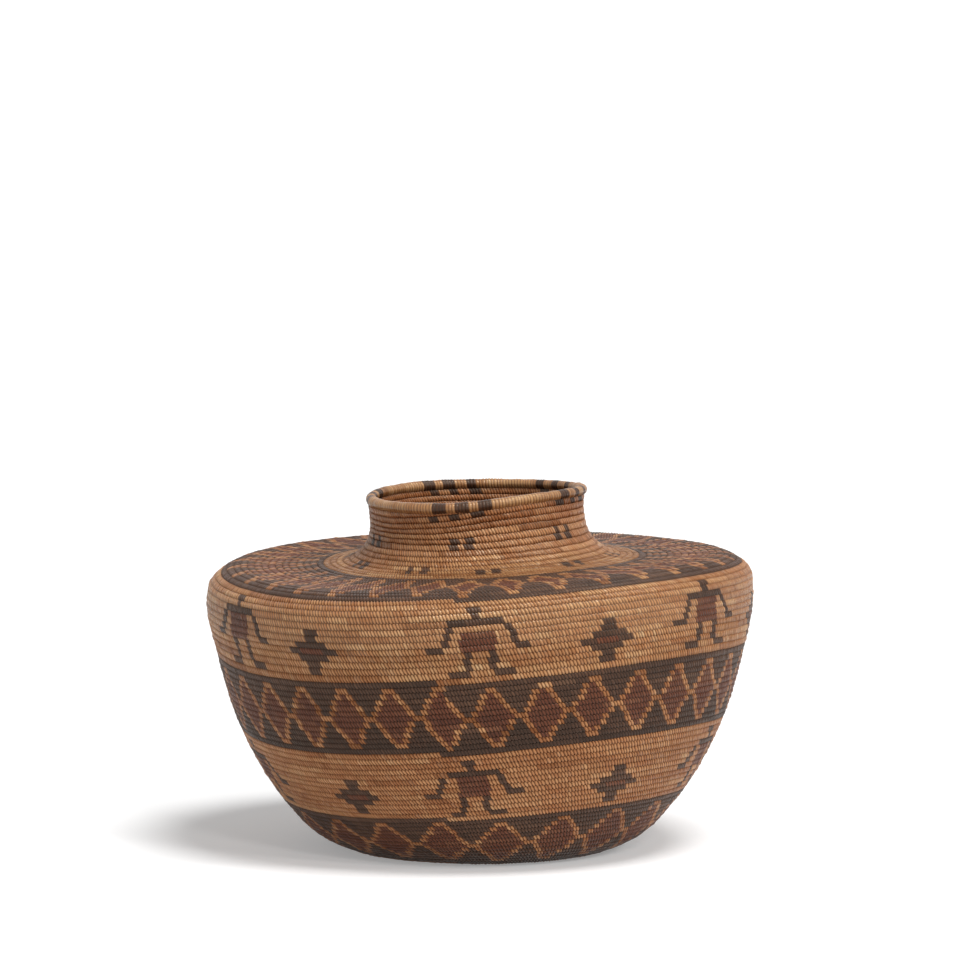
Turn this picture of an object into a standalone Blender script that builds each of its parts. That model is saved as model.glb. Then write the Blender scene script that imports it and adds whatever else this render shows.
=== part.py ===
# A coiled bottleneck basket: a broad, flat-shouldered bowl with a short upright neck.
# Metres, +Z up, the origin at the middle of the underside, the front towards -Y.
# The basket is one long grass coil, sewn round by round. Each object is a group of rounds, and the
# seams between its rounds are one spiral that climbs to the right.

import math

import bmesh
import bpy

# The coil and its seams
coil = 0.0047           # one round of coil, which is also the thickness of the wall
seam_gap = 0.0003       # left between one group of rounds and the next
seam_depth = 0.0009     # how far the seam between two rounds lies under their crowns
seam_turn = math.radians(-8)  # where one round passes into the next, from the front towards +X
rim_coil_radius = 0.0038  # the last round is sewn thicker

# The outside of the bowl. A spread or an inset is how much further out or in a level is than the
# one before it, and a rise is how much higher.
base_radius = 0.0900
toe_spread = 0.0170
toe_rise = 0.0048
heel_spread = 0.0120
heel_rise = 0.0064
foot_band_spread = 0.0245
foot_band_rise = 0.0248
figure_band_spread = 0.0300
figure_band_rise = 0.0500
diamond_band_spread = 0.0190
diamond_band_rise = 0.0600
belly_spread = 0.0068
belly_rise = 0.0375
turn_inset = 0.0021
turn_rise = 0.0150
shoulder_edge_inset = 0.0122
shoulder_edge_rise = 0.0097
shoulder_rise = 0.0020

# The neck. It flares from its waist up to the lip and down to the plain ring on the shoulder.
waist_radius = 0.0781
lip_flare = 0.0006
neck_low_flare = 0.0025
neck_foot_flare = 0.0114
shoulder_ring = 0.0260
shoulder_spread = 0.0340
shoulder_inner_rise = 0.0006
neck_foot_rise = 0.0052
neck_low_rise = 0.0125
waist_rise = 0.0145
lip_rise = 0.0108

# Besides their spiral, the rounds of the wall climb to the right (+X) and sway between, all
# measured along the wall.
row_tilt = 0.0045
foot_row_sway = 0.0050
wall_row_sway = 0.0065

# Above the wall the whole shoulder has leaned. These are heights at the belly's radius.
shoulder_tilt = 0.0053
shoulder_sway = 0.0033
front_sway_share = 0.58  # how much more it sways at the front than at the sides
shoulder_back_rise = 0.0014

# The neck has leaned further, most at the lip. These are heights at the waist's radius.
neck_tilt = 0.0015
neck_sway = 0.0009
neck_drop = 0.0010      # how much lower the lip's back lies than its middle
neck_shift = 0.0027     # how far the lip's middle stands to the left (-X)
neck_dip = 0.0015       # a sag of the front of the lip, a little to the left
neck_dip_turn = math.radians(-10)

# How finely the round forms are cut
turn_steps = 36
rim_sides = 10
curve_steps = 16
longest_chord = 0.0200
sharpest_bend = math.radians(16)

toe_radius = base_radius + toe_spread
heel_radius = toe_radius + heel_spread
foot_band_radius = heel_radius + foot_band_spread
figure_band_radius = foot_band_radius + figure_band_spread
diamond_band_radius = figure_band_radius + diamond_band_spread
belly_radius = diamond_band_radius + belly_spread
turn_radius = belly_radius - turn_inset
shoulder_edge_radius = turn_radius - shoulder_edge_inset
lip_radius = waist_radius + lip_flare
neck_low_radius = waist_radius + neck_low_flare
neck_foot_radius = neck_low_radius + neck_foot_flare
shoulder_inner_radius = neck_foot_radius + shoulder_ring
shoulder_radius = shoulder_inner_radius + shoulder_spread

levels = [
    ("base", base_radius, 0),
    ("toe", toe_radius, toe_rise),
    ("heel", heel_radius, heel_rise),
    ("foot_band", foot_band_radius, foot_band_rise),
    ("figure_band", figure_band_radius, figure_band_rise),
    ("diamond_band", diamond_band_radius, diamond_band_rise),
    ("belly", belly_radius, belly_rise),
    ("turn", turn_radius, turn_rise),
    ("shoulder_edge", shoulder_edge_radius, shoulder_edge_rise),
    ("shoulder", shoulder_radius, shoulder_rise),
    ("shoulder_inner", shoulder_inner_radius, shoulder_inner_rise),
    ("neck_foot", neck_foot_radius, neck_foot_rise),
    ("neck_low", neck_low_radius, neck_low_rise),
    ("waist", waist_radius, waist_rise),
    ("lip", lip_radius, lip_rise),
]

# The groups of rounds, from the start at the middle of the base up to the rim. Each ends at a
# share of the way from the level before to the level that it names. The number is how many rounds
# stand out on its outside, where the base is worn flat.
rounds_with_shares = [
    ("start_coil", "base", 0.15, 0, "plain"),
    ("base_inner_rounds", "base", 0.56, 0, "plain"),
    ("base_outer_rounds", "base", 1, 0, "plain"),
    ("heel_rounds", "heel", 1, 6, "dark"),
    ("foot_diamond_rounds", "foot_band", 1, 8, "dark"),
    ("lower_leg_rounds", "figure_band", 0.48, 6, "plain"),
    ("lower_arm_rounds", "figure_band", 0.95, 6, "plain"),
    ("wall_diamond_lower_rounds", "diamond_band", 0.44, 7, "dark"),
    ("wall_diamond_upper_rounds", "diamond_band", 0.91, 7, "dark"),
    ("upper_leg_rounds", "belly", 0.72, 7, "plain"),
    ("upper_arm_rounds", "turn", 0.22, 3, "plain"),
    ("shoulder_turn_rounds", "shoulder_edge", 0.46, 4, "plain"),
    ("shoulder_diamond_outer_rounds", "shoulder", 0.81, 7, "dark"),
    ("shoulder_diamond_inner_rounds", "shoulder_inner", 0.86, 7, "dark"),
    ("neck_foot_rounds", "neck_foot", 0.88, 6, "plain"),
    ("neck_flare_rounds", "neck_low", 0.63, 3, "plain"),
    ("neck_tick_rounds", "waist", 0.51, 3, "plain"),
    ("neck_plain_rounds", "lip", 0.19, 2, "plain"),
    ("rim_checker_round", "lip", 1, 2, "plain"),
]

finishes = {
    "plain": ((0.30, 0.145, 0.065, 1), 0.62),
    "dark": ((0.060, 0.036, 0.025, 1), 0.66),
    "rim": ((0.34, 0.170, 0.080, 1), 0.55),
}


def clear_scene():
    for thing in list(bpy.data.objects):
        bpy.data.objects.remove(thing, do_unlink=True)


def level_points():
    points = []
    height = 0
    for _, radius, rise in levels:
        height += rise
        points.append((radius, height))
    return points


def curve_between(start, end, start_slope, end_slope, share):
    """A point of the cubic from start to end that leaves and arrives along the two slopes."""
    span = math.dist(start, end)
    pulls = (
        (2 * share**3 - 3 * share**2 + 1, start),
        (span * (share**3 - 2 * share**2 + share), start_slope),
        (3 * share**2 - 2 * share**3, end),
        (span * (share**3 - share**2), end_slope),
    )
    return tuple(sum(pull * towards[i] for pull, towards in pulls) for i in (0, 1))


def slopes_at(points):
    """The curve's direction at each level. The base is flat, so it leaves the first level outwards."""
    slopes = [(1, 0)]
    for before, here, after in zip(points, points[1:], points[2:]):
        back, ahead = math.dist(before, here), math.dist(here, after)
        slopes.append(tuple(
            ((here[i] - before[i]) / back * ahead + (after[i] - here[i]) / ahead * back) / (back + ahead)
            for i in (0, 1)
        ))
    last, end = points[-2:]
    slopes.append(tuple((end[i] - last[i]) / math.dist(last, end) for i in (0, 1)))
    return slopes


def wall_path():
    """The outside of the wall from the middle of the base to the lip, and where each level is along it."""
    points = level_points()
    slopes = slopes_at(points)
    path = [(0, 0), points[0]]
    level_index = {"base": 1}
    for i in range(1, len(points)):
        ends = points[i - 1], points[i], slopes[i - 1], slopes[i]
        for step in range(1, curve_steps + 1):
            path.append(curve_between(*ends, step / curve_steps))
        level_index[levels[i][0]] = len(path) - 1
    lengths = [0]
    for before, here in zip(path, path[1:]):
        lengths.append(lengths[-1] + math.dist(before, here))
    return path, lengths, {name: lengths[i] for name, i in level_index.items()}


path, lengths, level_at = wall_path()
height_of = {level[0]: point[1] for level, point in zip(levels, level_points())}


def along_wall(distance):
    """A point of the outside of the wall and the wall's direction there."""
    i = next((k for k in range(1, len(path) - 1) if lengths[k] >= distance), len(path) - 1)
    (r0, z0), (r1, z1) = path[i - 1], path[i]
    span = lengths[i] - lengths[i - 1]
    share = (distance - lengths[i - 1]) / span
    return (r0 + share * (r1 - r0), z0 + share * (z1 - z0)), ((r1 - r0) / span, (z1 - z0) / span)


def bend_between(first, second):
    (ar, az), (br, bz) = along_wall(first)[1], along_wall(second)[1]
    return abs(math.atan2(ar * bz - az * br, ar * br + az * bz))


def section(start, end, rounds, wound):
    """The wall's cut between two distances, as distance and depth: up its outside, back down its inside.

    The outside rises and falls over each round. The seams between rounds have climbed by the share
    of a round that is wound, and those that run out over an end of the group stop there.
    """
    middle = (start + end) / 2
    bend = bend_between(start, middle) + bend_between(middle, end)
    pieces = max(1, math.ceil((end - start) / longest_chord), math.ceil(bend / sharpest_bend))
    stops = [start + (end - start) * k / pieces for k in range(pieces + 1)]
    outside = [(stop, 0) for stop in stops]
    if rounds:
        counts = [min(rounds, max(0, half / 2 + wound)) for half in range(-2, 2 * rounds + 1)]
        outside = [
            (start + (end - start) * count / rounds, seam_depth * abs(2 * ((count - wound) % 1) - 1))
            for count in counts
        ]
    return outside + [(stop, coil) for stop in stops[::-1]]


def rim_section():
    """The thick last round, which sits on the wall's top edge."""
    (radius, height), (along_r, along_z) = along_wall(level_at["lip"])
    up = rim_coil_radius + seam_gap
    centre_r = radius - coil / 2 * along_z + up * along_r
    centre_z = height + coil / 2 * along_r + up * along_z
    lowest = math.atan2(-along_z, -along_r)
    turns = [lowest + 2 * math.pi * k / rim_sides for k in range(rim_sides)]
    return [
        (centre_r + rim_coil_radius * math.cos(turn), centre_z + rim_coil_radius * math.sin(turn))
        for turn in turns
    ]


def eased(value, low, high):
    share = min(1, max(0, (value - low) / (high - low)))
    return share * share * (3 - 2 * share)


def leaned(radius, height, turn):
    """Where a point of the upright basket stands now that its shoulder and neck have leaned."""
    side, front = math.sin(turn), math.cos(turn)
    out = radius / belly_radius
    front_sway = shoulder_sway * (1 + front_sway_share * front)
    lean = shoulder_tilt * out * side + 2 * front_sway * out * out * side * front
    lean += shoulder_back_rise * out * (1 - front) / 2
    lean *= eased(height, height_of["diamond_band"], height_of["turn"])
    out = radius / waist_radius
    neck_lean = (neck_tilt * side + neck_drop * front) * out + 2 * neck_sway * out * out * side * front
    neck_lean -= neck_dip * max(0, math.cos(turn - neck_dip_turn)) ** 8
    share = eased(height, height_of["shoulder_inner"], height_of["lip"])
    rise = lean + neck_lean * share
    return radius * side - neck_shift * share, -radius * front, height + rise


def placed(distance, depth, turn):
    """A point of the wall, at a distance along its rounds and a depth below its outside."""
    foot, top = level_at["foot_band"], level_at["figure_band"]
    share = min(1, max(0, (distance - foot) / (top - foot)))
    sway = foot_row_sway + (wall_row_sway - foot_row_sway) * share
    climb = eased(distance, level_at["base"], level_at["foot_band"])
    climb *= 1 - eased(distance, level_at["diamond_band"], level_at["turn"])
    rise = climb * (row_tilt * math.sin(turn) + sway * math.sin(2 * turn))
    (radius, height), (along_r, along_z) = along_wall(distance + rise)
    return leaned(radius - depth * along_z, height + depth * along_r, turn)


def finish(name):
    colour, roughness = finishes[name]
    material = bpy.data.materials.new(name)
    material.use_nodes = True
    shader = material.node_tree.nodes["Principled BSDF"]
    shader.inputs["Base Color"].default_value = colour
    shader.inputs["Roughness"].default_value = roughness
    shader.inputs["Metallic"].default_value = 0
    return material


def turned(name, rings, material_name):
    """A solid from its section at each step of the turn, the first and the last in one place. Corners
    that meet, as at the axis and where a seam runs out, become one."""
    shape = bmesh.new()
    loops = [[shape.verts.new(point) for point in ring] for ring in rings]
    for loop, after in zip(loops, loops[1:]):
        for k in range(len(loop)):
            corners = (loop[k - 1], loop[k], after[k], after[k - 1])
            if any(math.hypot(corner.co.x, corner.co.y) > seam_gap for corner in corners):
                shape.faces.new(corners)
    bmesh.ops.remove_doubles(shape, verts=shape.verts, dist=seam_gap / 100)
    bmesh.ops.recalc_face_normals(shape, faces=shape.faces)
    mesh = bpy.data.meshes.new(name)
    shape.to_mesh(mesh)
    shape.free()
    mesh.materials.append(finish(material_name))
    mesh.shade_smooth()
    mesh.set_sharp_from_angle(angle=math.radians(40))
    made = bpy.data.objects.new(name, mesh)
    bpy.context.scene.collection.objects.link(made)
    return made


clear_scene()
winding = [step / turn_steps for step in range(turn_steps + 1)]
turns = [seam_turn + 2 * math.pi * wound for wound in winding]
order = list(level_at)
start = 0
for name, level, share, rounds, material_name in rounds_with_shares:
    level_start = level_at[order[order.index(level) - 1]] if level != order[0] else 0
    end = level_start + share * (level_at[level] - level_start)
    first = start + seam_gap / 2 if start else 0
    last = end if (level, share) == (order[-1], 1) else end - seam_gap / 2
    cuts = [section(first, last, rounds, wound) for wound in winding]
    rings = [[placed(*corner, turn) for corner in cut] for cut, turn in zip(cuts, turns)]
    turned(name, rings, material_name)
    start = end
turned("rim_coil", [[leaned(*corner, turn) for corner in rim_section()] for turn in turns], "rim")
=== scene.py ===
# A coiled bottleneck basket: one long grass coil, wound round by round and sewn with split strands.
# Metres, +Z up, the front towards -Y. Turns are measured from the front towards the right (+X).

import math

import bpy
import numpy as np
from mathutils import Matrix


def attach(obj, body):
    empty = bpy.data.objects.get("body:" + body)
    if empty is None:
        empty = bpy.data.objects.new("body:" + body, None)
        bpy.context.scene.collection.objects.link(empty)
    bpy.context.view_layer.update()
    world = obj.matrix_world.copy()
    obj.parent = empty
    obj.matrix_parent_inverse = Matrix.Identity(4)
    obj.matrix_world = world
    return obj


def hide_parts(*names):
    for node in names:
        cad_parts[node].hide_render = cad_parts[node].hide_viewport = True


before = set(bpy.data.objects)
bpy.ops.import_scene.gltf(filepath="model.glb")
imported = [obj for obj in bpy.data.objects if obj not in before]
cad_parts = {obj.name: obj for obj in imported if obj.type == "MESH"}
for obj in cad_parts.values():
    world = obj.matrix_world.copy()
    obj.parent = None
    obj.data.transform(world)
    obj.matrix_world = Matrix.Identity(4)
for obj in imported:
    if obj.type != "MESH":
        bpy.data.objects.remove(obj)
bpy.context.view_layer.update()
scene = bpy.context.scene
draws = np.random.default_rng(1907)  # every random draw comes from here, in the order of the rounds
print("frame loaded:", len(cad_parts), "nodes")

# The outside of the wall, from the edge of the flat base up to the lip: name, radius, height
wallLevels = [
    ("base", 0.0900, 0.0000),
    ("toe", 0.1070, 0.0048),
    ("heel", 0.1190, 0.0112),
    ("footBand", 0.1435, 0.0360),
    ("figureBand", 0.1735, 0.0860),
    ("diamondBand", 0.1925, 0.1460),
    ("belly", 0.1993, 0.1835),
    ("turn", 0.1972, 0.1985),
    ("shoulderEdge", 0.1850, 0.2082),
    ("shoulder", 0.1520, 0.2102),
    ("shoulderInner", 0.1180, 0.2108),
    ("neckFoot", 0.0920, 0.2160),
    ("neckLow", 0.0806, 0.2285),
    ("waist", 0.0781, 0.2430),
    ("lip", 0.0787, 0.2538),
]
tuck = 0.0016  # how far the wall goes on past its lip, inside the rim coil
baseSteps, levelSteps = 59, 48  # how finely the base is drawn, and the wall from level to level

# How the whole basket has leaned with age
leaning = {
    "shoulderTilt": 0.0053,
    "shoulderSway": 0.0033,
    "frontSwayShare": 0.58,
    "shoulderBackRise": 0.0014,
    "neckTilt": 0.0015,
    "neckSway": 0.0009,
    "neckDrop": 0.0010,
    "neckShift": 0.0027,
    "neckDip": 0.0015,       # a sag of the front of the lip
    "neckDipTurn": -10.0,    # degrees
    "neckDipPower": 8,       # higher is narrower
}

# The coil: one spiral that climbs to the right
coil = {
    "thickness": 0.0047,
    "pitch": 0.0047,
    "seamTurn": -8.0,        # degrees: where one round passes into the next
    "rowTilt": 0.0045,       # the rounds of the wall rise to the right
    "rowSway": 0.0050,
    "upperSway": 0.0015,     # added to the sway above the foot band
    "rimLevel": (0.20, 0.0, 1.0, 0.20),    # the top rounds lie back by these pitches, at these
    "rimLevelAt": (0.0, 0.03, 0.88, 1.0),  # shares of the way round, to stay level under the rim
    "heightWobble": 0.00016,  # how unevenly the rounds lie
    "bulgeWobble": 0.00017,   # how unevenly they stand out
    "evenEnds": 2,            # rounds over which the first and the last ones come to lie evenly
}

# Rounds against the way up the wall, in pitches. The dark rounds are thinner than the tan ones.
roundMarks = [
    (-1, -1), (0, 0), (21, 20.3), (28, 27.9), (35, 34.35), (48, 47.0), (61, 58.87), (74, 72.07),
    (89, 88.3), (104, 103.32), (106, 105.32),
]
markRounds, markPitches = zip(*roundMarks)
lastRound = 104
seam = math.radians(coil["seamTurn"])


def wallTable():
    # a smooth line through the levels, from the middle of the base up and past the lip
    points = np.array([(radius, height) for _, radius, height in wallLevels])
    gaps = np.linalg.norm(np.diff(points, axis=0), axis=1)
    steepness = np.diff(points, axis=0) / gaps[:, None]
    slopes = [np.array((1.0, 0.0))]
    for i in range(1, len(points) - 1):
        back, ahead = gaps[i - 1], gaps[i]
        slopes.append((steepness[i - 1] * ahead + steepness[i] * back) / (back + ahead))
    slopes.append(steepness[-1])
    share = np.linspace(0, 1, levelSteps + 1)[1:, None]
    parts = [np.linspace(0, 1, baseSteps + 1)[:, None] * points[0]]
    for i, gap in enumerate(gaps):
        parts.append(
            (2 * share**3 - 3 * share**2 + 1) * points[i]
            + gap * (share**3 - 2 * share**2 + share) * slopes[i]
            + (3 * share**2 - 2 * share**3) * points[i + 1]
            + gap * (share**3 - share**2) * slopes[i + 1]
        )
    parts.append(points[-1:] + tuck * steepness[-1:])
    line = np.concatenate(parts)
    along = np.concatenate([[0], np.cumsum(np.linalg.norm(np.diff(line, axis=0), axis=1))])
    direction = np.gradient(line, along, axis=0)
    direction /= np.linalg.norm(direction, axis=1)[:, None]
    return along, line, direction


wayAlong, wallLine, wallDirection = wallTable()
wallEnd = wayAlong[-1]
levelWay = {name: wayAlong[baseSteps + i * levelSteps] for i, (name, _, _) in enumerate(wallLevels)}
levelRadius = {name: radius for name, radius, _ in wallLevels}
levelHeight = {name: height for name, _, height in wallLevels}


def wallAt(way):
    # radius, height, and the direction of the wall in radius and height
    way = np.clip(way, 0, wallEnd)
    return [np.interp(way, wayAlong, table) for table in (*wallLine.T, *wallDirection.T)]


def eased(value, low, high):
    share = np.clip((value - low) / (high - low), 0, 1)
    return share * share * (3 - 2 * share)


def leaned(radius, height, turn):
    # a point of the true round basket, moved to where the leaning basket has it
    side, front = np.sin(turn), np.cos(turn)
    out = radius / levelRadius["belly"]
    frontSway = leaning["shoulderSway"] * (1 + leaning["frontSwayShare"] * front)
    lean = leaning["shoulderTilt"] * out * side + 2 * frontSway * out * out * side * front
    lean = lean + leaning["shoulderBackRise"] * out * (1 - front) / 2
    lean = lean * eased(height, levelHeight["diamondBand"], levelHeight["turn"])
    out = radius / levelRadius["waist"]
    neckLean = (leaning["neckTilt"] * side + leaning["neckDrop"] * front) * out
    neckLean = neckLean + 2 * leaning["neckSway"] * out * out * side * front
    dipFacing = np.maximum(0, np.cos(turn - math.radians(leaning["neckDipTurn"])))
    neckLean = neckLean - leaning["neckDip"] * dipFacing ** leaning["neckDipPower"]
    share = eased(height, levelHeight["shoulderInner"], levelHeight["lip"])
    rise = lean + neckLean * share
    return np.stack(
        [radius * side - leaning["neckShift"] * share, -radius * front, height + rise], axis=-1
    )


wobbleBeats = np.array([1.37, 3.21, 5.83, 9.41, 15.7, 26.3, 41.9])  # waves to a round
wobbleWeights = np.array([0.6, 0.6, 0.5, 0.5, 0.45, 0.4, 0.35])
heightPhases, bulgePhases = draws.uniform(0, 2 * math.pi, (2, len(wobbleBeats)))


def wobble(count, phases):
    waves = np.sin(2 * math.pi * count[..., None] * wobbleBeats + phases)
    return (waves * wobbleWeights).sum(-1)


def wayOf(count, turn):
    # the way up the wall of the lower edge of the coil, where it has been wound this many rounds
    way = np.interp(count, markRounds, markPitches) * coil["pitch"]
    aboveFoot = (way - levelWay["footBand"]) / (levelWay["figureBand"] - levelWay["footBand"])
    sway = coil["rowSway"] + coil["upperSway"] * np.clip(aboveFoot, 0, 1)
    climb = eased(way, levelWay["base"], levelWay["footBand"])
    climb = climb * (1 - eased(way, levelWay["diamondBand"], levelWay["turn"]))
    roundShare = np.mod((turn - seam) / (2 * math.pi), 1)
    back = np.interp(roundShare, coil["rimLevelAt"], coil["rimLevel"]) * coil["pitch"]
    way = way - back * eased(way, levelWay["neckLow"], levelWay["lip"])
    way = way + climb * (coil["rowTilt"] * np.sin(turn) + sway * np.sin(2 * turn))
    ends = np.clip(count / coil["evenEnds"], 0, 1)
    ends = ends * np.clip((lastRound - count) / coil["evenEnds"], 0, 1)
    return np.clip(way + coil["heightWobble"] * ends * wobble(count, heightPhases), 0, wallEnd)


# Charts: which strand sews each stitch. Places are in degrees and in rounds, as a maker counts them.
tan, dark, red, polishedTan, outlineTan = range(5)

diamondBands = [
    # the round of the links between diamonds and the rounds from it to a tip, how many diamonds go
    # round and the turn of a link, the width of a flat tip and of the outline in stitches, and how
    # far a diamond slants with each round, in degrees
    {"link": 28, "reach": 5, "count": 20, "linkTurn": -2.4, "tip": 4.0, "outline": 2, "slant": -0.10},
    {"link": 54, "reach": 5, "count": 32, "linkTurn": -2.5, "tip": 3.9, "outline": 2, "slant": -0.15},
    {"link": 81, "reach": 6, "count": 34, "linkTurn": 1.8, "tip": 3.0, "outline": 2, "slant": 0.0},
]
darkBands = [
    # first round, the round after the last, and the turn where both change
    (21, 35, -9.2),
    (48, 61, -8.9),
    (74, 89, -5.5),
]

# A chart has its rows from the feet up: the dark spans and the red spans, in degrees from the middle
upperFigures = {
    "turns": (-61.5, -1.2, 54.0, 115.0, 176.0, 237.4),
    "feet": 62,
    "chart": [
        (((-5.5, -1.0), (4.6, 8.7)), ()),
        (((-2.2, -0.6), (3.0, 4.8)), ()),
        (((-2.2, -0.6), (3.0, 4.8)), ()),
        (((-2.2, -0.6), (3.0, 4.8)), ()),
        (((-9.9, -6.2), (8.3, 11.6)), ((-2.8, 4.5),)),
        (((-7.0, -5.5), (7.8, 9.3)), ((-2.8, 4.5),)),
        (((-6.6, -5.1), (7.2, 8.7)), ((-2.8, 4.5),)),
        (((-6.2, -4.6), (6.0, 7.6)), ()),
        (((-5.7, 6.2),), ()),
        (((-0.6, 0.9),), ()),
        (((-1.5, 1.4),), ()),
    ],
}
# two of the upper figures have a taller body
tallBodies = {"turns": (-61.5, 54.0), "feet": 69, "chart": [((), ((-2.8, 4.5),))]}
lowerFigures = {
    "turns": (-75.0, -2.5, 71.5, 142.7, 213.8),
    "feet": 36,
    "chart": [
        (((-5.5, -1.2), (4.7, 9.7)), ()),
        (((-2.5, -0.6), (3.3, 5.2)), ()),
        (((-2.5, -0.6), (3.3, 5.2)), ()),
        (((-2.5, -0.6), (3.3, 5.2)), ()),
        (((-11.7, -7.2), (8.9, 13.5)), ((-2.8, 5.0),)),
        (((-8.5, -6.7), (8.6, 10.4)), ((-2.8, 5.0),)),
        (((-8.0, -6.2), (7.5, 9.3)), ((-3.0, 4.8),)),
        (((-7.2, -5.4), (6.3, 8.1)), ((-3.3, 4.3),)),
        (((-5.6, 6.8),), ()),
        (((-0.8, 1.0),), ()),
        (((-1.8, 1.5),), ()),
    ],
}
crossChart = [
    (((-1.6, 1.6),), ()),
    (((-1.6, 1.6),), ()),
    (((-3.8, 3.8),), ()),
    (((-6.0, -2.6), (2.6, 6.0)), ((-2.6, 2.6),)),
    (((-3.8, 3.8),), ()),
    (((-1.6, 1.6),), ()),
    (((-1.6, 1.6),), ()),
]
upperCrosses = {
    "turns": (-37.5, 27.5, 82.5, 146.0, 207.0, 268.0),
    "feet": 62,
    "chart": crossChart,
}
lowerCrosses = {
    "turns": (-34.5, 36.5, 107.0, 178.0, 249.5),
    "feet": 36,
    "chart": crossChart,
    "spread": 1.2,           # the wall is narrower here, so that a cross takes more degrees
}
ringTicks = {
    "turns": (-28.7, 3.5, 43.0, 79.0, 115.0, 151.0, 187.0, 223.0, 259.0, 295.0),
    "feet": 92,
    "chart": [
        (((-5.4, -2.0), (1.6, 5.2)), ()),
        (((-5.4, -2.0), (1.6, 5.2)), ()),
    ],
}
neckTickChart = [
    (((-6.3, -1.9), (1.9, 6.3)), ()),
    (((-6.3, -1.9), (1.9, 6.3)), ()),
]
lowNeckTicks = {"turns": (-8.7, 291.0), "feet": 97, "chart": neckTickChart}
neckTicks = {"turns": (50.8, 110.0, 171.0, 231.0), "feet": 98, "chart": neckTickChart}
rimTurns = (-8.0, 66.0, 129.0, 196.0, 265.0)
rimCheckChart = [(((-18.4, -12.2), (-6.2, -1.0), (5.4, 11.6)), ())]
rimChecks = {"turns": rimTurns, "feet": 103, "chart": rimCheckChart}
motifs = [
    upperFigures, tallBodies, lowerFigures, upperCrosses, lowerCrosses,
    ringTicks, lowNeckTicks, neckTicks, rimChecks,
]


def wrapped(angle):
    return (angle + 180) % 360 - 180


def strandsOf(number, share, stitchDegrees):
    # number is the round, share how far round it each stitch sits, from the seam
    turn = coil["seamTurn"] + 360 * share
    count = number + share
    strand = np.full(len(share), tan)
    for first, end, changeTurn in darkBands:
        late = (changeTurn - coil["seamTurn"]) / 360
        strand[(count >= first + late) & (count < end + late)] = dark
    for band in diamondBands:
        step = number - band["link"]
        if abs(step) > band["reach"]:
            continue
        spacing = 360 / band["count"]
        half = spacing / 2 / stitchDegrees
        place = (turn - band["linkTurn"]) / spacing
        middle = np.floor(place) + 0.5
        offset = (place - middle) * spacing / stitchDegrees
        offset = offset - band["slant"] * step / stitchDegrees
        width = half - abs(step) * (half - band["tip"] / 2) / band["reach"]
        inside = np.abs(offset) <= width
        edge = (np.abs(offset) > width - band["outline"]) | (abs(step) == band["reach"])
        strand[inside] = red
        strand[inside & edge] = outlineTan
    for motif in motifs:
        spread = motif.get("spread", 1)
        for motifTurn in motif["turns"]:
            away = wrapped(turn - motifTurn)
            atMotif = (motifTurn - coil["seamTurn"]) % 360 / 360
            row = np.round(count - away / 360 - atMotif - motif["feet"]).astype(int)
            for step, (darkSpans, redSpans) in enumerate(motif["chart"]):
                here = row == step
                for spans, kind in ((darkSpans, dark), (redSpans, red)):
                    for low, high in spans:
                        strand[here & (away >= low * spread) & (away <= high * spread)] = kind
    return strand


# Finishes of the three strands
tanStrand = {
    "tones": [
        (0.00, (0.230, 0.086, 0.028)),
        (0.30, (0.410, 0.178, 0.074)),
        (0.60, (0.555, 0.277, 0.127)),
        (0.85, (0.665, 0.375, 0.187)),
        (1.00, (0.740, 0.470, 0.260)),
    ],
    # the colour of the painted shade where a strand dives between its neighbours
    "paintedCreviceShade": (0.070, 0.014, 0.003),
    "roughness": 0.33,
    "gloss": 0.30,
    "glossTint": (1.0, 0.86, 0.62),
    "relief": 0.30,
}
polishedTanStrand = {**tanStrand, "roughness": 0.31, "gloss": 0.58, "relief": 0.08}
darkStrand = {
    "tones": [
        (0.00, (0.043, 0.018, 0.010)),
        (0.50, (0.086, 0.037, 0.021)),
        (1.00, (0.164, 0.079, 0.046)),
    ],
    # the colour of the painted shade where a strand dives between its neighbours
    "paintedCreviceShade": (0.020, 0.009, 0.005),
    "roughness": 0.36,
    "gloss": 0.30,
    "glossTint": (1.0, 0.92, 0.80),
    "relief": 0.35,
}
redStrand = {
    "tones": [
        (0.00, (0.088, 0.021, 0.009)),
        (0.50, (0.162, 0.045, 0.020)),
        (1.00, (0.260, 0.100, 0.050)),
    ],
    # the colour of the painted shade where a strand dives between its neighbours
    "paintedCreviceShade": (0.024, 0.007, 0.003),
    "roughness": 0.36,
    "gloss": 0.30,
    "glossTint": (1.0, 0.92, 0.80),
    "relief": 0.35,
}
# What all strands share: the fibres and streaks along them, and stains and casts over the basket
strandGrain = {
    "stretch": 0.09,         # how much slower the grain changes along a strand than across it
    "fibreScale": 4200,
    "fibreDepth": 0.00012,
    "fibreRoughness": 0.12,
    "streakScale": 1500,
    "streakTone": 0.35,
    "stainScale": 22,
    "stainTone": 0.30,
    "castScale": 90,
    "castSpread": 0.45,
    "redCast": (1.12, 0.86, 0.74),
    "greyCast": (0.88, 1.13, 1.12),
    "paintedShadePower": 0.62,     # lower spreads the painted shade over more of a stitch where it dives between its neighbours
    "hollowRoughness": 0.30,
}


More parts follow.
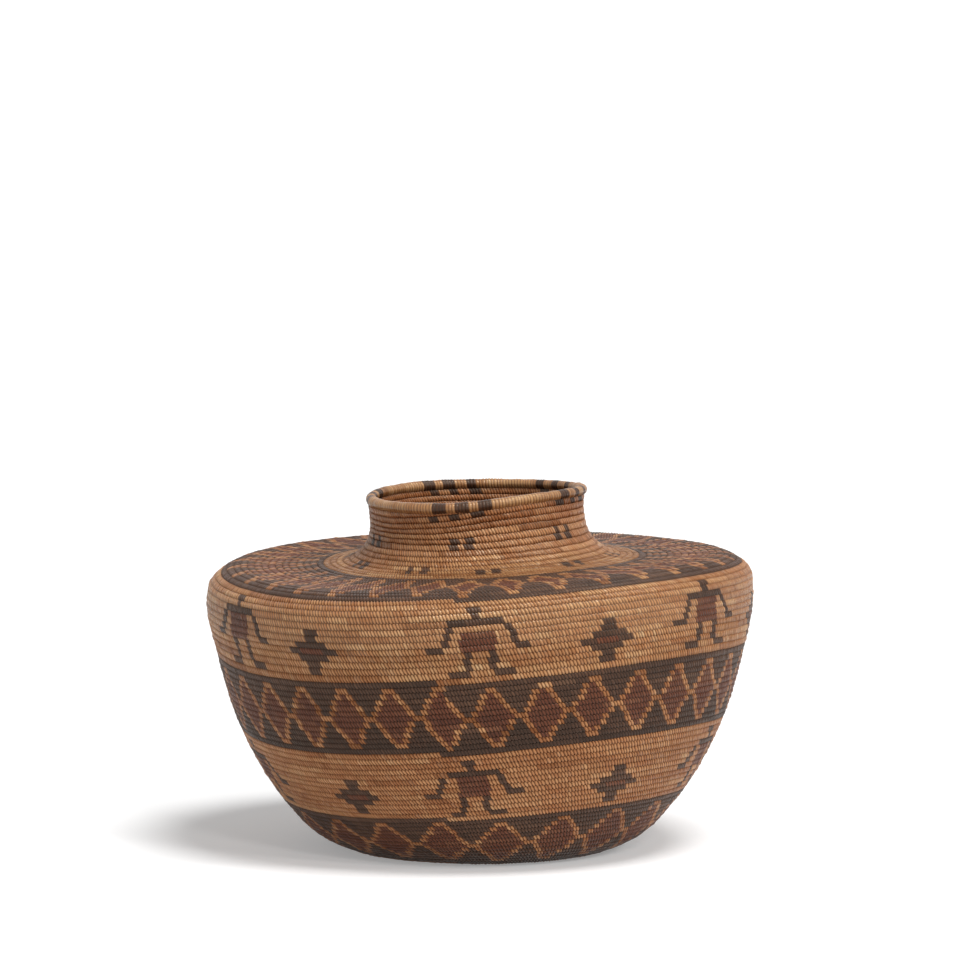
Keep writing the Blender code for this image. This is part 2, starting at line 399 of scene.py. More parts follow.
def strandMaterial(name, values):
    material = bpy.data.materials.new(name)
    material.use_nodes = True
    nodes, links = material.node_tree.nodes, material.node_tree.links
    shader = nodes["Principled BSDF"]
    shader.inputs["Specular IOR Level"].default_value = values["gloss"]
    shader.inputs["Specular Tint"].default_value = (*values["glossTint"], 1)

    def attribute(label):
        node = nodes.new("ShaderNodeAttribute")
        node.attribute_name = label
        return node.outputs["Fac"]

    def maths(operation, first, second, third=None):
        node = nodes.new("ShaderNodeMath")
        node.operation = operation
        for socket, value in zip(node.inputs, (first, second, third)):
            if isinstance(value, (int, float)):
                socket.default_value = value
            elif value is not None:
                links.new(value, socket)
        return node.outputs[0]

    def noise(vector, scale, detail):
        node = nodes.new("ShaderNodeTexNoise")
        node.inputs["Scale"].default_value = scale
        node.inputs["Detail"].default_value = detail
        links.new(vector, node.inputs["Vector"])
        return node.outputs["Fac"]

    def mixed(kind, share, first, second):
        node = nodes.new("ShaderNodeMix")
        node.data_type = "RGBA"
        node.blend_type = kind
        sockets = (node.inputs[0], node.inputs[6], node.inputs[7])
        for socket, value in zip(sockets, (share, first, second)):
            if isinstance(value, (int, float)):
                socket.default_value = value
            elif isinstance(value, tuple):
                socket.default_value = (*value, 1)
            else:
                links.new(value, socket)
        return node.outputs[2]

    def centred(value, spread):
        # a noise value about 0, this far each way at most
        return maths("MULTIPLY", maths("SUBTRACT", value, 0.5), spread)

    # fibres run along each strand
    strandPlace = nodes.new("ShaderNodeUVMap")
    strandPlace.uv_map = "strandMap"
    stretch = nodes.new("ShaderNodeMapping")
    stretch.inputs["Scale"].default_value = (1, strandGrain["stretch"], 1)
    links.new(strandPlace.outputs["UV"], stretch.inputs["Vector"])
    fibre = noise(stretch.outputs["Vector"], strandGrain["fibreScale"], 2)
    streak = noise(stretch.outputs["Vector"], strandGrain["streakScale"], 1)

    # age and handling, over the whole basket
    place = nodes.new("ShaderNodeTexCoord")
    stain = noise(place.outputs["Object"], strandGrain["stainScale"], 4)
    patches = noise(place.outputs["Object"], strandGrain["castScale"], 2)

    tone = maths("ADD", attribute("tone"), centred(streak, strandGrain["streakTone"]))
    tone = maths("ADD", tone, centred(stain, strandGrain["stainTone"]))
    ramp = nodes.new("ShaderNodeValToRGB")
    stops = ramp.color_ramp.elements
    for k, (position, colour) in enumerate(values["tones"]):
        stop = stops[k] if k < 2 else stops.new(position)
        stop.position = position
        stop.color = (*colour, 1)
    links.new(tone, ramp.inputs["Fac"])
    spread = strandGrain["castSpread"]
    hue = maths("ADD", maths("MULTIPLY_ADD", patches, spread, 0.5 - spread / 2), attribute("cast"))
    cast = mixed("MIX", hue, strandGrain["redCast"], strandGrain["greyCast"])
    colour = mixed("MULTIPLY", 1, ramp.outputs["Color"], cast)
    # painted shade: a strand is painted darker where it dives between its neighbours
    paintedShadeShare = maths("POWER", attribute("paintedCreviceShade"), strandGrain["paintedShadePower"])
    links.new(mixed("MIX", paintedShadeShare, colour, values["paintedCreviceShade"]), shader.inputs["Base Color"])

    spread = strandGrain["fibreRoughness"]
    rough = maths("MULTIPLY_ADD", fibre, spread, values["roughness"] - spread / 2)
    rough = maths("MULTIPLY_ADD", attribute("paintedCreviceShade"), strandGrain["hollowRoughness"], rough)
    rough = maths("SUBTRACT", rough, attribute("polish"))
    links.new(rough, shader.inputs["Roughness"])
    bump = nodes.new("ShaderNodeBump")
    bump.inputs["Strength"].default_value = values["relief"]
    bump.inputs["Distance"].default_value = strandGrain["fibreDepth"]
    links.new(fibre, bump.inputs["Height"])
    links.new(bump.outputs["Normal"], shader.inputs["Normal"])
    return material


strandMaterials = [
    # in the order of the kinds of strand: tan, dark, red, polishedTan
    strandMaterial("tanStrand", tanStrand),
    strandMaterial("darkStrand", darkStrand),
    strandMaterial("redStrand", redStrand),
    strandMaterial("polishedTanStrand", polishedTanStrand),
]
print("strand materials made")

# How finely a round is cut. Along it, the columns of each stitch; across it, the rings.
wallGrid = {
    "columns": (0.0, 0.27, 0.5, 0.73),
    "outer": (-0.02, 0.15, 0.5, 0.85, 1.02),
    "inner": (1.02, 0.5, -0.02),
    "innerStep": 4,         # the inside has one column for this many outside
}
neckGrid = {
    "columns": (0.0, 0.20, 0.5, 0.80),
    "outer": (-0.02, 0.09, 0.27, 0.5, 0.73, 0.91, 1.02),
    "inner": (1.02, 0.84, 0.5, 0.16, -0.02),
    "innerStep": 1,
}

stitches = {
    "width": 0.00250,
    "neckWidth": 0.00225,
    "neckFrom": 89,         # the first round of the neck
    "slant": 0.90,          # how far a stitch leans over one round, in stitches
    "phase": 0.40,          # over each whole round, so that the ends lie between those below
    "fewest": 8,            # on the tight first rounds
    "sameCount": 12,        # neighbouring rounds keep one count of stitches, in steps of this
    "sameCountFrom": 60,    # where they have more stitches than this
    "crown": 2.3,           # how full the round is across; 2 is a circle
    "gap": 0.00040,         # the dip between two stitches in the middle of the round
    "endGap": 0.00115,      # and where they dive in
    "gapPower": 4,          # higher is narrower
    "pinch": 0.60,          # how much narrower a stitch is at its ends
    "gapShade": 0.78,       # how dark the painted shade in the dips is, in the middle of the round
    "shadePower": 3.1,      # higher is narrower
    "endShadeSpread": 1.4,  # how much wider the painted shade is where they dive in
    "seamPower": 8,         # of the painted shade in the seams; higher is narrower
    "insideRelief": 0.8,    # against the outside's
    "nearest": 0.0002,      # no point is nearer to the middle of the base
    "unevenWidth": 0.13,
    "unevenHeight": 0.00012,
    "unevenTone": 0.08,
    "unevenPolish": 0.035,
    "polishedFrom": 0.06,   # tan stitches with more polish than this take the polished finish
    "outlineTone": -0.12,   # the diamonds' outlines are sewn with darker tan strands
}
# The wall is sewn flush and the neck's rounds stand out. The top is painted darker, as painted shade,
# and the widest rounds and the rim are polished by handling.
roundShapes = [
    # round, how far it swells out between its seams, how dark the painted shade in its seams is, the
    # tone with painted light and shade by height, the polish and how far the tan leans from red
    # (below 0) to grey
    (0, 0.00040, 0.18, 0.02, 0.00, -0.16),
    (47, 0.00040, 0.18, 0.02, 0.00, -0.16),
    (48, 0.00040, 0.18, -0.07, 0.00, -0.14),
    (52, 0.00040, 0.18, -0.04, 0.00, -0.12),
    (56, 0.00040, 0.18, 0.00, 0.00, -0.10),
    (65, 0.00040, 0.16, 0.00, 0.03, -0.05),
    (68, 0.00040, 0.14, 0.02, 0.18, -0.05),
    (71, 0.00045, 0.15, 0.02, 0.15, -0.05),
    (74, 0.00050, 0.13, -0.02, 0.00, 0.00),
    (87, 0.00055, 0.15, -0.10, 0.00, 0.05),
    (89, 0.00060, 0.20, -0.20, 0.02, 0.22),
    (94, 0.00055, 0.20, -0.18, 0.02, 0.12),
    (96, 0.00050, 0.20, -0.12, 0.06, -0.04),
    (98, 0.00050, 0.22, -0.10, 0.08, -0.08),
    (101, 0.00050, 0.24, -0.10, 0.08, -0.16),
    (104, 0.00050, 0.26, -0.15, 0.08, -0.26),
]
shapeRounds, roundSwells, seamShades, paintedShadeTones, roundPolish, roundCasts = zip(*roundShapes)
# painted shade: the dark strands at the bottom of the wall band, where the wall faces down, are
# painted darker still
underShadeRounds, underShadeTones = (47, 48, 51, 55), (0.00, -0.32, -0.24, 0.00)

# A split strand keeps its own tone for a run of stitches, and a few strands are cream
runs = {
    "shortest": 7,
    "longest": 24,
    "tone": 0.50,
    "spread": 0.14,
    "creamShare": 0.015,
    "cream": 0.74,
}
strandInHand = {"stitchesLeft": 0, "tone": runs["tone"]}


def countStitches():
    # for each round: where its first stitch starts, its stitches, and how many go to a whole turn
    first, table = 0, {}
    for number in range(-1, lastRound + 2):
        middle = wayOf(np.array([number + 1.0]), np.array([math.pi / 2]))
        width = stitches["neckWidth"] if number >= stitches["neckFrom"] else stitches["width"]
        whole = 2 * math.pi * wallAt(middle)[0][0] / width
        step = stitches["sameCount"] if whole > stitches["sameCountFrom"] else 1
        whole = max(stitches["fewest"], round(whole / step) * step) + stitches["phase"]
        count = math.ceil(whole * (1 - first))
        table[number] = (first, count, whole)
        first = first + count / whole - 1
    return table


stitchTable = countStitches()


def runTones(count):
    tones = np.empty(count)
    for k in range(count):
        if strandInHand["stitchesLeft"] == 0:
            strandInHand["stitchesLeft"] = int(draws.integers(runs["shortest"], runs["longest"]))
            strandInHand["tone"] = draws.normal(runs["tone"], runs["spread"])
            if draws.random() < runs["creamShare"]:
                strandInHand["tone"] = runs["cream"]
        tones[k] = strandInHand["tone"]
        strandInHand["stitchesLeft"] -= 1
    return np.clip(tones + draws.normal(0, stitches["unevenTone"], count), 0, 1)


def sewRounds(first, last, grid):
    # the columns of points along the coil, and the finish of each stitch
    places = np.array(grid["columns"])
    perStitch = len(places)
    columns = {"share": [], "number": [], "place": [], "uneven": [], "pitchAngle": []}
    finishes = {"kind": [], "tone": [], "polish": [], "cast": []}
    start, end = math.floor(first), math.ceil(last)
    for number in range(start, end):
        begin, count, whole = stitchTable[number]
        low = round(count * (first - start)) if number == start else 0
        high = round(count * (last - number)) if number == end - 1 else count
        index = np.arange(low, high)
        shift = draws.uniform(-1, 1, count + 1) * stitches["unevenWidth"]
        shift[[0, -1]] = 0
        step = 1 + shift[index + 1] - shift[index]
        place = index[:, None] + shift[index][:, None] + places * step[:, None]
        height = draws.normal(0, stitches["unevenHeight"], len(index))
        columns["share"].append(begin + place.ravel() / whole)
        columns["number"].append(np.full(place.size, number))
        columns["place"].append(np.tile(places, len(index)))
        columns["uneven"].append((height[:, None] * (places > 0)).ravel())
        columns["pitchAngle"].append(np.full(place.size, 2 * math.pi / whole))
        middle = number + 0.5
        kind = strandsOf(number, begin + (index + 0.5) / whole, 360 / whole)
        # painted light and shade by height: the top and the bottom of the wall band are painted
        # darker
        tone = runTones(len(index)) + np.interp(middle, shapeRounds, paintedShadeTones)
        tone[kind == outlineTan] += stitches["outlineTone"]
        # painted shade on the dark strands at the bottom of the wall band
        tone[kind == dark] += np.interp(middle, underShadeRounds, underShadeTones)
        kind[kind == outlineTan] = tan
        cast = np.where(kind == tan, np.interp(middle, shapeRounds, roundCasts), 0)
        polish = np.interp(middle, shapeRounds, roundPolish)
        polish = polish + draws.normal(0, stitches["unevenPolish"], len(index))
        kind[(kind == tan) & (polish > stitches["polishedFrom"])] = polishedTan
        for label, values in (("kind", kind), ("tone", tone), ("polish", polish), ("cast", cast)):
            finishes[label].append(values)
    # one more column closes the last stitch
    columns["share"].append([begin + high / whole])
    columns["number"].append([end - 1])
    columns["place"].append([0.0])
    columns["uneven"].append([0.0])
    columns["pitchAngle"].append([2 * math.pi / whole])
    columns = {label: np.concatenate(parts) for label, parts in columns.items()}
    finishes = {label: np.concatenate(parts) for label, parts in finishes.items()}
    return columns, finishes


def coilSurface(columns, across, inside):
    # the points over these columns at these places across the round, and how hollow each one lies
    share, number, place, uneven, pitchAngle = (values[:, None] for values in columns.values())
    across = np.array(across)[None, :]
    towardsEnd = np.abs(2 * np.clip(across, 0, 1) - 1)
    centred = np.where(place == 0, 0, place - 0.5)
    squeeze = -centred * stitches["pinch"] * towardsEnd**2
    lean = -stitches["slant"] * (across - 0.5) * (-1 if inside else 1)
    share = share + (squeeze + lean) * pitchAngle / (2 * math.pi)
    turn = seam + 2 * math.pi * share
    count = number + share
    way = wayOf(count, turn) * (1 - across) + wayOf(count + 1, turn) * across

    # how deep the point lies under the crown of the round
    towardsGap = np.abs(2 * place - 1)
    underCrown = 1 - np.sqrt(1 - towardsEnd ** stitches["crown"])
    depth = np.interp(count, shapeRounds, roundSwells) * underCrown
    dip = stitches["gap"] + (stitches["endGap"] - stitches["gap"]) * towardsEnd**2
    depth = depth + towardsGap ** stitches["gapPower"] * dip - uneven * (1 - towardsEnd)
    depth = depth - coil["bulgeWobble"] * wobble(count, bulgePhases) * (1 - towardsEnd)
    if inside:
        depth = coil["thickness"] - depth * stitches["insideRelief"]

    # painted shade between the stitches and in the seams
    shadePower = stitches["shadePower"] - stitches["endShadeSpread"] * towardsEnd**2
    gapShade = stitches["gapShade"] + (1 - stitches["gapShade"]) * towardsEnd
    seamShade = np.interp(count, shapeRounds, seamShades) * towardsEnd ** stitches["seamPower"]
    paintedCreviceShade = np.clip(towardsGap**shadePower * gapShade + seamShade, 0, 1)

    radius, height, alongRadius, alongHeight = wallAt(way)
    radius = np.maximum(radius - depth * alongHeight, stitches["nearest"])
    points = leaned(radius, height + depth * alongRadius, turn)
    points[..., 2] = np.maximum(points[..., 2], 0)  # the base is worn flat
    return points, paintedCreviceShade


# The map of the coil: strips of it, opened along the foot of the round, side by side in the square
coilMap = {
    "outside": (0.0, 0.62),  # the shares of a strip's width that each takes
    "inside": (0.72, 0.92),
    "stripWidth": 0.0078,
    "margin": 0.04,          # on each side of a strip, as a share of its width
    "room": 1.01,            # the square is this much longer than the longest strip
    "capEdge": 0.995,        # the two ends of the coil take a sliver at the edge of the square
    "capWidth": 0.004,
    "capSweep": 3.1,
    "strandWidth": 0.0076,   # across the map that the fibres follow
}


def coilFaces(grid, outerId, innerId, lastStitch):
    # all corners in order, their places across a strip, and for each face its count of corners,
    # its stitch and whether its edges are sharp
    step, perStitch = grid["innerStep"], len(grid["columns"])
    outerStitch = np.arange(len(outerId) - 1) // perStitch
    innerStitch = np.arange(len(innerId) - 1) * step // perStitch
    outerPlace = np.linspace(*coilMap["outside"], outerId.shape[1])
    innerPlace = np.linspace(*coilMap["inside"], innerId.shape[1])
    faces = []

    def addFaces(corners, places, stitch, isSharp=True, turnedOver=False):
        if turnedOver:
            corners, places = corners[::-1], places[::-1]
        corners = np.stack(corners, axis=-1)
        faces.append((corners, np.tile(places, (len(corners), 1)), stitch, isSharp))

    def addQuads(lower, upper, lowPlace, highPlace, stitch, isSharp=False, turnedOver=False):
        corners = [lower[:-1], lower[1:], upper[1:], upper[:-1]]
        addFaces(corners, [lowPlace, lowPlace, highPlace, highPlace], stitch, isSharp, turnedOver)

    for ids, places, stitch in (
        (outerId, outerPlace, outerStitch),
        (innerId, innerPlace, innerStitch),
    ):
        for ring in range(ids.shape[1] - 1):
            addQuads(ids[:, ring], ids[:, ring + 1], *places[ring:ring + 2], stitch)
    # the top and the foot join the outside to the inside, which may have fewer columns
    for fine, coarse, finePlace, coarsePlace, turnedOver in (
        (outerId[:, -1], innerId[:, 0], outerPlace[-1], innerPlace[0], False),
        (outerId[:, 0], innerId[:, -1], 1.0, innerPlace[-1], True),
    ):
        if step == 1:
            addQuads(fine, coarse, finePlace, coarsePlace, innerStitch, True, turnedOver)
            continue
        cells = np.arange(len(coarse) - 1)
        for k in range(step):
            near = coarse[cells + (1 if k >= step / 2 else 0)]
            corners = [fine[cells * step + k], fine[cells * step + k + 1], near]
            addFaces(corners, [finePlace, finePlace, coarsePlace], innerStitch, True, turnedOver)
        corners = [coarse[cells], fine[cells * step + step // 2], coarse[cells + 1]]
        addFaces(corners, [coarsePlace, finePlace, coarsePlace], innerStitch, True, turnedOver)
    # a cap closes each end
    firstCap = np.concatenate([outerId[0], innerId[0]])[::-1]
    lastCap = np.concatenate([outerId[-1], innerId[-1]])
    for cap, stitch in ((firstCap, 0), (lastCap, lastStitch)):
        addFaces(cap[:, None], np.linspace(0, 1, len(cap)), [stitch])

    corners, places, stitch, isSharp = zip(*faces)
    loops = np.concatenate([part.ravel() for part in corners])
    loopPlace = np.concatenate([part.ravel() for part in places])
    sizes = np.concatenate([np.full(len(part), part.shape[1]) for part in corners])
    faceSharp = np.concatenate([np.full(len(part), value) for part, value in zip(corners, isSharp)])
    return loops, loopPlace, sizes, np.concatenate(stitch), faceSharp


def coilMapPlaces(alongCoil, perStitch, cornerAlong, cornerStitch, cornerPlace):
    # where each corner is in the square of the map
    total = alongCoil[-1]
    strips = max(1, round(math.sqrt(total / coilMap["stripWidth"])))
    stitchStart = alongCoil[::perStitch][:-1]
    stripOf = np.minimum((stitchStart / total * strips).astype(int), strips - 1)
    stripStart = np.array([
        stitchStart[stripOf == k].min() if (stripOf == k).any() else 0 for k in range(strips)
    ])
    longest = np.diff(np.append(stripStart, total)).max() * coilMap["room"]
    strip = stripOf[cornerStitch]
    margin = coilMap["margin"]
    mapX = (cornerAlong - stripStart[strip]) / longest
    mapY = (strip + margin + (1 - 2 * margin) * cornerPlace) / strips
    return mapX, mapY


def dressStitches(mesh, finishes, faceStitch, paintedCreviceShade, bakePlaces, strandPlaces):
    # the strands' materials, what they read from the mesh, and its two maps
    for material in strandMaterials:
        mesh.materials.append(material)
    mesh.polygons.foreach_set("material_index", finishes["kind"][faceStitch])
    for label in ("tone", "polish", "cast"):
        values = finishes[label][faceStitch]
        mesh.attributes.new(label, "FLOAT", "FACE").data.foreach_set("value", values)
    # the share of painted shade in the gaps and seams, which the materials mix in
    mesh.attributes.new("paintedCreviceShade", "FLOAT", "POINT").data.foreach_set("value", paintedCreviceShade)
    for label, places in (("OFBake", bakePlaces), ("strandMap", strandPlaces)):
        layer = mesh.uv_layers.new(name=label)
        layer.data.foreach_set("uv", np.stack(places, axis=-1).ravel())
    mesh.uv_layers["OFBake"].active = True
    mesh.uv_layers["OFBake"].active_render = True


def windRounds(name, node, first, last, grid):
    columns, finishes = sewRounds(first, last, grid)
    step, perStitch = grid["innerStep"], len(grid["columns"])
    innerColumns = {label: values[::step] for label, values in columns.items()}
    outer, outerPaintedCreviceShade = coilSurface(columns, grid["outer"], False)
    inner, innerPaintedCreviceShade = coilSurface(innerColumns, grid["inner"], True)
    outerId = np.arange(outerPaintedCreviceShade.size).reshape(outerPaintedCreviceShade.shape)
    innerId = outerId.size + np.arange(innerPaintedCreviceShade.size).reshape(innerPaintedCreviceShade.shape)
    lastStitch = len(finishes["kind"]) - 1
    loops, loopPlace, sizes, faceStitch, faceSharp = coilFaces(grid, outerId, innerId, lastStitch)
    loopStart = np.concatenate([[0], np.cumsum(sizes)[:-1]])

    mesh = bpy.data.meshes.new(name)
    mesh.vertices.add(outerId.size + innerId.size)
    points = np.concatenate([outer.reshape(-1, 3), inner.reshape(-1, 3)])
    mesh.vertices.foreach_set("co", points.ravel())
    mesh.loops.add(len(loops))
    mesh.loops.foreach_set("vertex_index", loops)
    mesh.polygons.add(len(sizes))
    mesh.polygons.foreach_set("loop_start", loopStart)

    # how far along the coil each point is, by the middle of the outside
    steps = np.linalg.norm(np.diff(outer[:, outerId.shape[1] // 2], axis=0), axis=1)
    alongCoil = np.concatenate([[0], np.cumsum(steps)])
    outerAlong = np.repeat(alongCoil, outerId.shape[1])
    innerAlong = np.repeat(alongCoil[::step], innerId.shape[1])
    cornerAlong = np.concatenate([outerAlong, innerAlong])[loops]
    faceOf = np.repeat(np.arange(len(sizes)), sizes)
    mapX, mapY = coilMapPlaces(alongCoil, perStitch, cornerAlong, faceStitch[faceOf], loopPlace)
    inCap = faceOf >= len(sizes) - 2
    sweep = np.abs(np.sin(coilMap["capSweep"] * loopPlace[inCap]))
    mapX[inCap] = coilMap["capEdge"] + coilMap["capWidth"] * sweep
    strandPlaces = (cornerAlong, loopPlace * coilMap["strandWidth"])
    paintedCreviceShade = np.concatenate([outerPaintedCreviceShade.ravel(), innerPaintedCreviceShade.ravel()])
    dressStitches(mesh, finishes, faceStitch, paintedCreviceShade, (mapX, mapY), strandPlaces)
    mesh.attributes.new("sharp_face", "BOOLEAN", "FACE").data.foreach_set("value", faceSharp)
    mesh.update(calc_edges=True)
    if mesh.validate(verbose=True):
        print("mended", name)
    piece = bpy.data.objects.new(name, mesh)
    scene.collection.objects.link(piece)
    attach(piece, "root")
    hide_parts(node)


# The groups of rounds: piece, the node it stands for, its first round and the round after its last
groups = [
    ("startCoil", "start_coil", -0.75, 3, wallGrid),
    ("baseInnerRounds", "base_inner_rounds", 3, 11, wallGrid),
    ("baseOuterRounds", "base_outer_rounds", 11, 20, wallGrid),
    ("heelRounds", "heel_rounds", 20, 26, wallGrid),
    ("footDiamondRounds", "foot_diamond_rounds", 26, 34, wallGrid),
    ("lowerLegRounds", "lower_leg_rounds", 34, 40, wallGrid),
    ("lowerArmRounds", "lower_arm_rounds", 40, 46, wallGrid),
    ("wallDiamondLowerRounds", "wall_diamond_lower_rounds", 46, 53, wallGrid),
    ("wallDiamondUpperRounds", "wall_diamond_upper_rounds", 53, 60, wallGrid),
    ("upperLegRounds", "upper_leg_rounds", 60, 67, wallGrid),
    ("upperArmRounds", "upper_arm_rounds", 67, 70, wallGrid),
    ("shoulderTurnRounds", "shoulder_turn_rounds", 70, 74, wallGrid),
    ("shoulderDiamondOuterRounds", "shoulder_diamond_outer_rounds", 74, 81, wallGrid),
    ("shoulderDiamondInnerRounds", "shoulder_diamond_inner_rounds", 81, 88, wallGrid),
    ("neckFootRounds", "neck_foot_rounds", 88, 94, neckGrid),
    ("neckFlareRounds", "neck_flare_rounds", 94, 97, neckGrid),
    ("neckTickRounds", "neck_tick_rounds", 97, 100, neckGrid),
    ("neckPlainRounds", "neck_plain_rounds", 100, 102, neckGrid),
    ("rimCheckerRound", "rim_checker_round", 102, 104.03, neckGrid),
]
for group in groups:
    windRounds(*group)
print("rounds wound:", len(groups), "groups")

# The thick last round
rimCoil = {
    "radius": 0.0038,
    "gapBelow": 0.0003,
    "stitchWidth": 0.0024,
    "countedOut": 0.0020,    # the stitches are counted this far outside the middle of the coil
    "slant": 1.3,            # over the whole way round the coil, in stitches
    "dip": 0.00036,
    # how dark the painted shade in the dips between stitches is
    "gapShade": 0.8,
    "unevenHeight": 0.00006,
    "endSwell": 0.00045,     # the coil is thicker where its end is sewn down
    "endTurn": -24.0,
    "endPower": 6,           # higher is shorter
    "checkWidth": 3.1,       # half a check, in degrees
    "checkSpacing": 12.4,
    "tone": -0.10,
    "polish": 0.12,
    "cast": 0.15,
    "rings": 20,
    "columns": (0.0, 0.20, 0.5, 0.80),
    "mapStrips": 5,
    "mapMargins": (0.015, 0.03),  # along a strip and on each side of it, as shares
    "strandWidth": 0.024,    # across the map that the fibres follow
}


def windRim():
    radius, height, alongRadius, alongHeight = (
        value.item() for value in wallAt(np.array(levelWay["lip"]))
    )
    up = rimCoil["radius"] + rimCoil["gapBelow"]
    centreRadius = radius - coil["thickness"] / 2 * alongHeight + up * alongRadius
    centreHeight = height + coil["thickness"] / 2 * alongRadius + up * alongHeight
    countedRadius = centreRadius + rimCoil["countedOut"]
    count = round(2 * math.pi * countedRadius / rimCoil["stitchWidth"])
    places = np.array(rimCoil["columns"])
    index = np.arange(count)
    shift = draws.uniform(-1, 1, count + 1) * stitches["unevenWidth"]
    shift[-1] = shift[0]
    step = 1 + shift[index + 1] - shift[index]
    share = ((index + shift[index])[:, None] + places * step[:, None]).ravel() / count
    place = np.tile(places, count)
    unevenStitch = draws.normal(0, rimCoil["unevenHeight"], count)
    uneven = (unevenStitch[:, None] * (places > 0)).ravel()

    # ring 0 is at the bottom, and the stitches lean as they pass over the coil from inside to outside
    columns, rings = len(share), rimCoil["rings"]
    ring = np.arange(rings)[None, :] / rings
    around = 2 * math.pi * ring
    lean = rimCoil["slant"] * (ring - 0.5) / count
    turn = seam + 2 * math.pi * (share[:, None] + lean)
    valley = np.abs(2 * place - 1) ** stitches["gapPower"]
    swellOut = coil["bulgeWobble"] * wobble(lastRound + share, bulgePhases)[:, None]
    fromEnd = np.maximum(0, np.cos(turn - math.radians(rimCoil["endTurn"])))
    swellOut = swellOut + rimCoil["endSwell"] * fromEnd ** rimCoil["endPower"]
    size = rimCoil["radius"] - valley[:, None] * rimCoil["dip"] + uneven[:, None] + swellOut
    outwards = centreRadius - size * np.sin(around)
    upwards = centreHeight - size * np.cos(around)
    points = leaned(outwards, upwards, turn)
    # painted shade in the dips between the stitches
    paintedCreviceShade = np.repeat(valley * rimCoil["gapShade"], rings)

    kind = np.full(count, tan)
    stitchTurn = wrapped(coil["seamTurn"] + 360 * (index + 0.5) / count)
    for middle in rimTurns:
        for side in (-1, 0, 1):
            away = np.abs(wrapped(stitchTurn - middle - side * rimCoil["checkSpacing"]))
            kind[away < rimCoil["checkWidth"]] = dark
    tone = runTones(count) + rimCoil["tone"]
    cast = np.where(kind == dark, 0, rimCoil["cast"])
    polish = rimCoil["polish"] + draws.normal(0, stitches["unevenPolish"], count)
    kind[(kind == tan) & (polish > stitches["polishedFrom"])] = polishedTan
    finishes = {"kind": kind, "tone": tone, "polish": polish, "cast": cast}

    ids = np.arange(columns * rings).reshape(columns, rings)
    nextColumn, nextRing = np.roll(ids, -1, axis=0), np.roll(ids, -1, axis=1)
    corner = np.roll(nextColumn, -1, axis=1)
    quads = np.stack([ids, nextRing, corner, nextColumn], axis=-1).reshape(-1, 4)
    faceColumn = np.repeat(np.arange(columns), rings)
    faceRing = np.tile(np.arange(rings), columns)
    faceStitch = faceColumn // len(places)
    mesh = bpy.data.meshes.new("rimCoil")
    mesh.from_pydata(points.reshape(-1, 3).tolist(), [], quads.tolist())

    # its map is strips of the coil, side by side in the square
    strips = rimCoil["mapStrips"]
    alongMargin, sideMargin = rimCoil["mapMargins"]
    perStrip = math.ceil(count / strips)
    strip = faceStitch // perStrip
    low = (share[faceColumn] - strip * perStrip / count) * strips
    high = low + (np.append(share[1:], 1 + share[0]) - share)[faceColumn] * strips
    mapX = np.stack([low, low, high, high], axis=-1) * (1 - 2 * alongMargin) + alongMargin
    across = np.stack([faceRing, faceRing + 1, faceRing + 1, faceRing], axis=-1) / rings
    mapY = (strip[:, None] + sideMargin + (1 - 2 * sideMargin) * across) / strips
    alongRim = (mapX + strip[:, None]) * 2 * math.pi * centreRadius / strips
    strandPlaces = (alongRim, across * rimCoil["strandWidth"])
    dressStitches(mesh, finishes, faceStitch, paintedCreviceShade, (mapX, mapY), strandPlaces)
    mesh.shade_smooth()
    mesh.update()
    piece = bpy.data.objects.new("rimCoil", mesh)
    scene.collection.objects.link(piece)
    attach(piece, "root")
    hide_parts("rim_coil")


windRim()
print("rim coil wound")

# The studio: a floor that reads white, a soft key from the upper right front, and a pale surround
studio = {
    "floorSize": 60.0,
    "floorColour": (0.80, 0.80, 0.80),
    "floorGlow": 0.28,       # seen by the camera only, so that the floor reads white round its shadow
    "ambient": 0.25,
    "keyStrength": 2.30,
    "keyAzimuth": 38.0,      # degrees to the right of the camera
    "keyHeight": 67.0,
    "keySoftness": 20.0,
    "sheenStrength": 0.42,   # each of three lower lamps, which glint on the strands
    "sheenAzimuths": (18.0, 40.0, 62.0),
    "sheenHeight": 30.0,
    "sheenSoftness": 8.0,
    "fillStrength": 0.10,
    "fillAzimuth": -35.0,
    "fillHeight": 20.0,
    "fillSoftness": 60.0,
}


def seenRay(nodes, links):
    # 1 for rays from the camera, mirrors and glass
    path = nodes.new("ShaderNodeLightPath")
    first = nodes.new("ShaderNodeMath")
    first.operation = "MAXIMUM"
    links.new(path.outputs["Is Camera Ray"], first.inputs[0])
    links.new(path.outputs["Is Glossy Ray"], first.inputs[1])
    second = nodes.new("ShaderNodeMath")
    second.operation = "MAXIMUM"
    links.new(first.outputs[0], second.inputs[0])
    links.new(path.outputs["Is Transmission Ray"], second.inputs[1])
    return second.outputs[0]


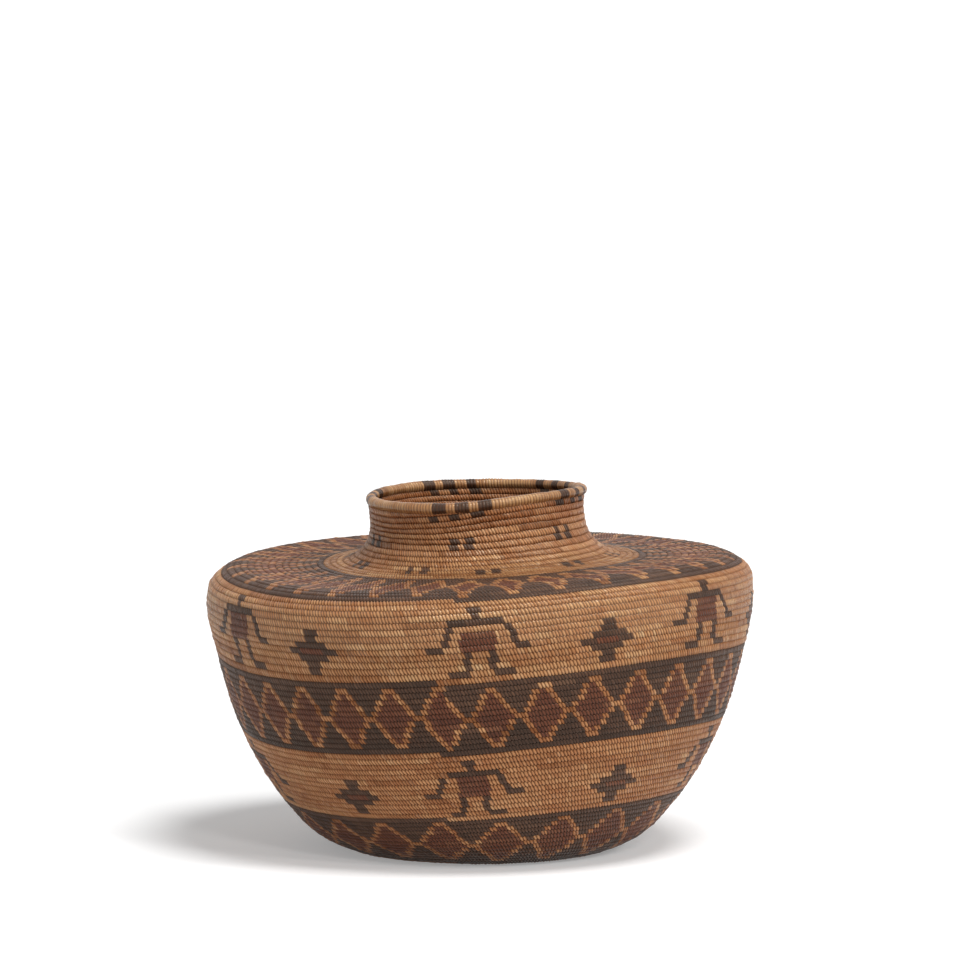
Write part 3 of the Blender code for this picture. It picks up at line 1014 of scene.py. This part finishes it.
def makeFloor():
    half = studio["floorSize"] / 2
    corners = [(-half, -half, 0), (half, -half, 0), (half, half, 0), (-half, half, 0)]
    mesh = bpy.data.meshes.new("floor")
    mesh.from_pydata(corners, [], [(0, 1, 2, 3)])
    material = bpy.data.materials.new("floorPaper")
    material.use_nodes = True
    nodes, links = material.node_tree.nodes, material.node_tree.links
    nodes.remove(nodes["Principled BSDF"])
    diffuse = nodes.new("ShaderNodeBsdfDiffuse")
    diffuse.inputs["Color"].default_value = (*studio["floorColour"], 1)
    glow = nodes.new("ShaderNodeEmission")
    strength = nodes.new("ShaderNodeMath")
    strength.operation = "MULTIPLY"
    links.new(seenRay(nodes, links), strength.inputs[0])
    strength.inputs[1].default_value = studio["floorGlow"]
    links.new(strength.outputs[0], glow.inputs["Strength"])
    both = nodes.new("ShaderNodeAddShader")
    links.new(diffuse.outputs[0], both.inputs[0])
    links.new(glow.outputs[0], both.inputs[1])
    links.new(both.outputs[0], nodes["Material Output"].inputs["Surface"])
    mesh.materials.append(material)
    floor = bpy.data.objects.new("floor", mesh)
    scene.collection.objects.link(floor)


def makeWorld():
    world = bpy.data.worlds.new("paleRoom")
    scene.world = world
    world.use_nodes = True
    nodes, links = world.node_tree.nodes, world.node_tree.links
    background = nodes["Background"]
    background.inputs["Color"].default_value = (1, 1, 1, 1)
    strength = nodes.new("ShaderNodeMapRange")
    links.new(seenRay(nodes, links), strength.inputs["Value"])
    strength.inputs["To Min"].default_value = studio["ambient"]
    strength.inputs["To Max"].default_value = 1.0
    links.new(strength.outputs["Result"], background.inputs["Strength"])


def makeSun(name, azimuth):
    # name is key, sheen or fill
    light = bpy.data.lights.new(name + "Light", "SUN")
    light.energy = studio[name + "Strength"]
    light.angle = math.radians(studio[name + "Softness"])
    lamp = bpy.data.objects.new(name + "Light", light)
    lamp.rotation_euler = (math.radians(90 - studio[name + "Height"]), 0, math.radians(azimuth))
    scene.collection.objects.link(lamp)


makeFloor()
makeWorld()
makeSun("key", studio["keyAzimuth"])
for sheenAzimuth in studio["sheenAzimuths"]:
    makeSun("sheen", sheenAzimuth)
makeSun("fill", studio["fillAzimuth"])

camera = {
    "place": (0, -5.9487, 0.9132),
    "aim": (0, 0, 0.2686),
    "lens": 308.1,
    "sensorWidth": 36,
    "farthest": 200,
}


def makeCamera():
    data = bpy.data.cameras.new("camera")
    data.lens = camera["lens"]
    data.sensor_width = camera["sensorWidth"]
    data.clip_end = camera["farthest"]
    view = bpy.data.objects.new("camera", data)
    view.location = camera["place"]
    (x, y, z), (aimX, aimY, aimZ) = camera["place"], camera["aim"]
    down = math.atan2(z - aimZ, math.hypot(x - aimX, y - aimY))
    view.rotation_euler = (math.pi / 2 - down, 0, 0)
    scene.collection.objects.link(view)
    scene.camera = view


makeCamera()
scene.view_settings.view_transform = "Standard"
print("studio set")
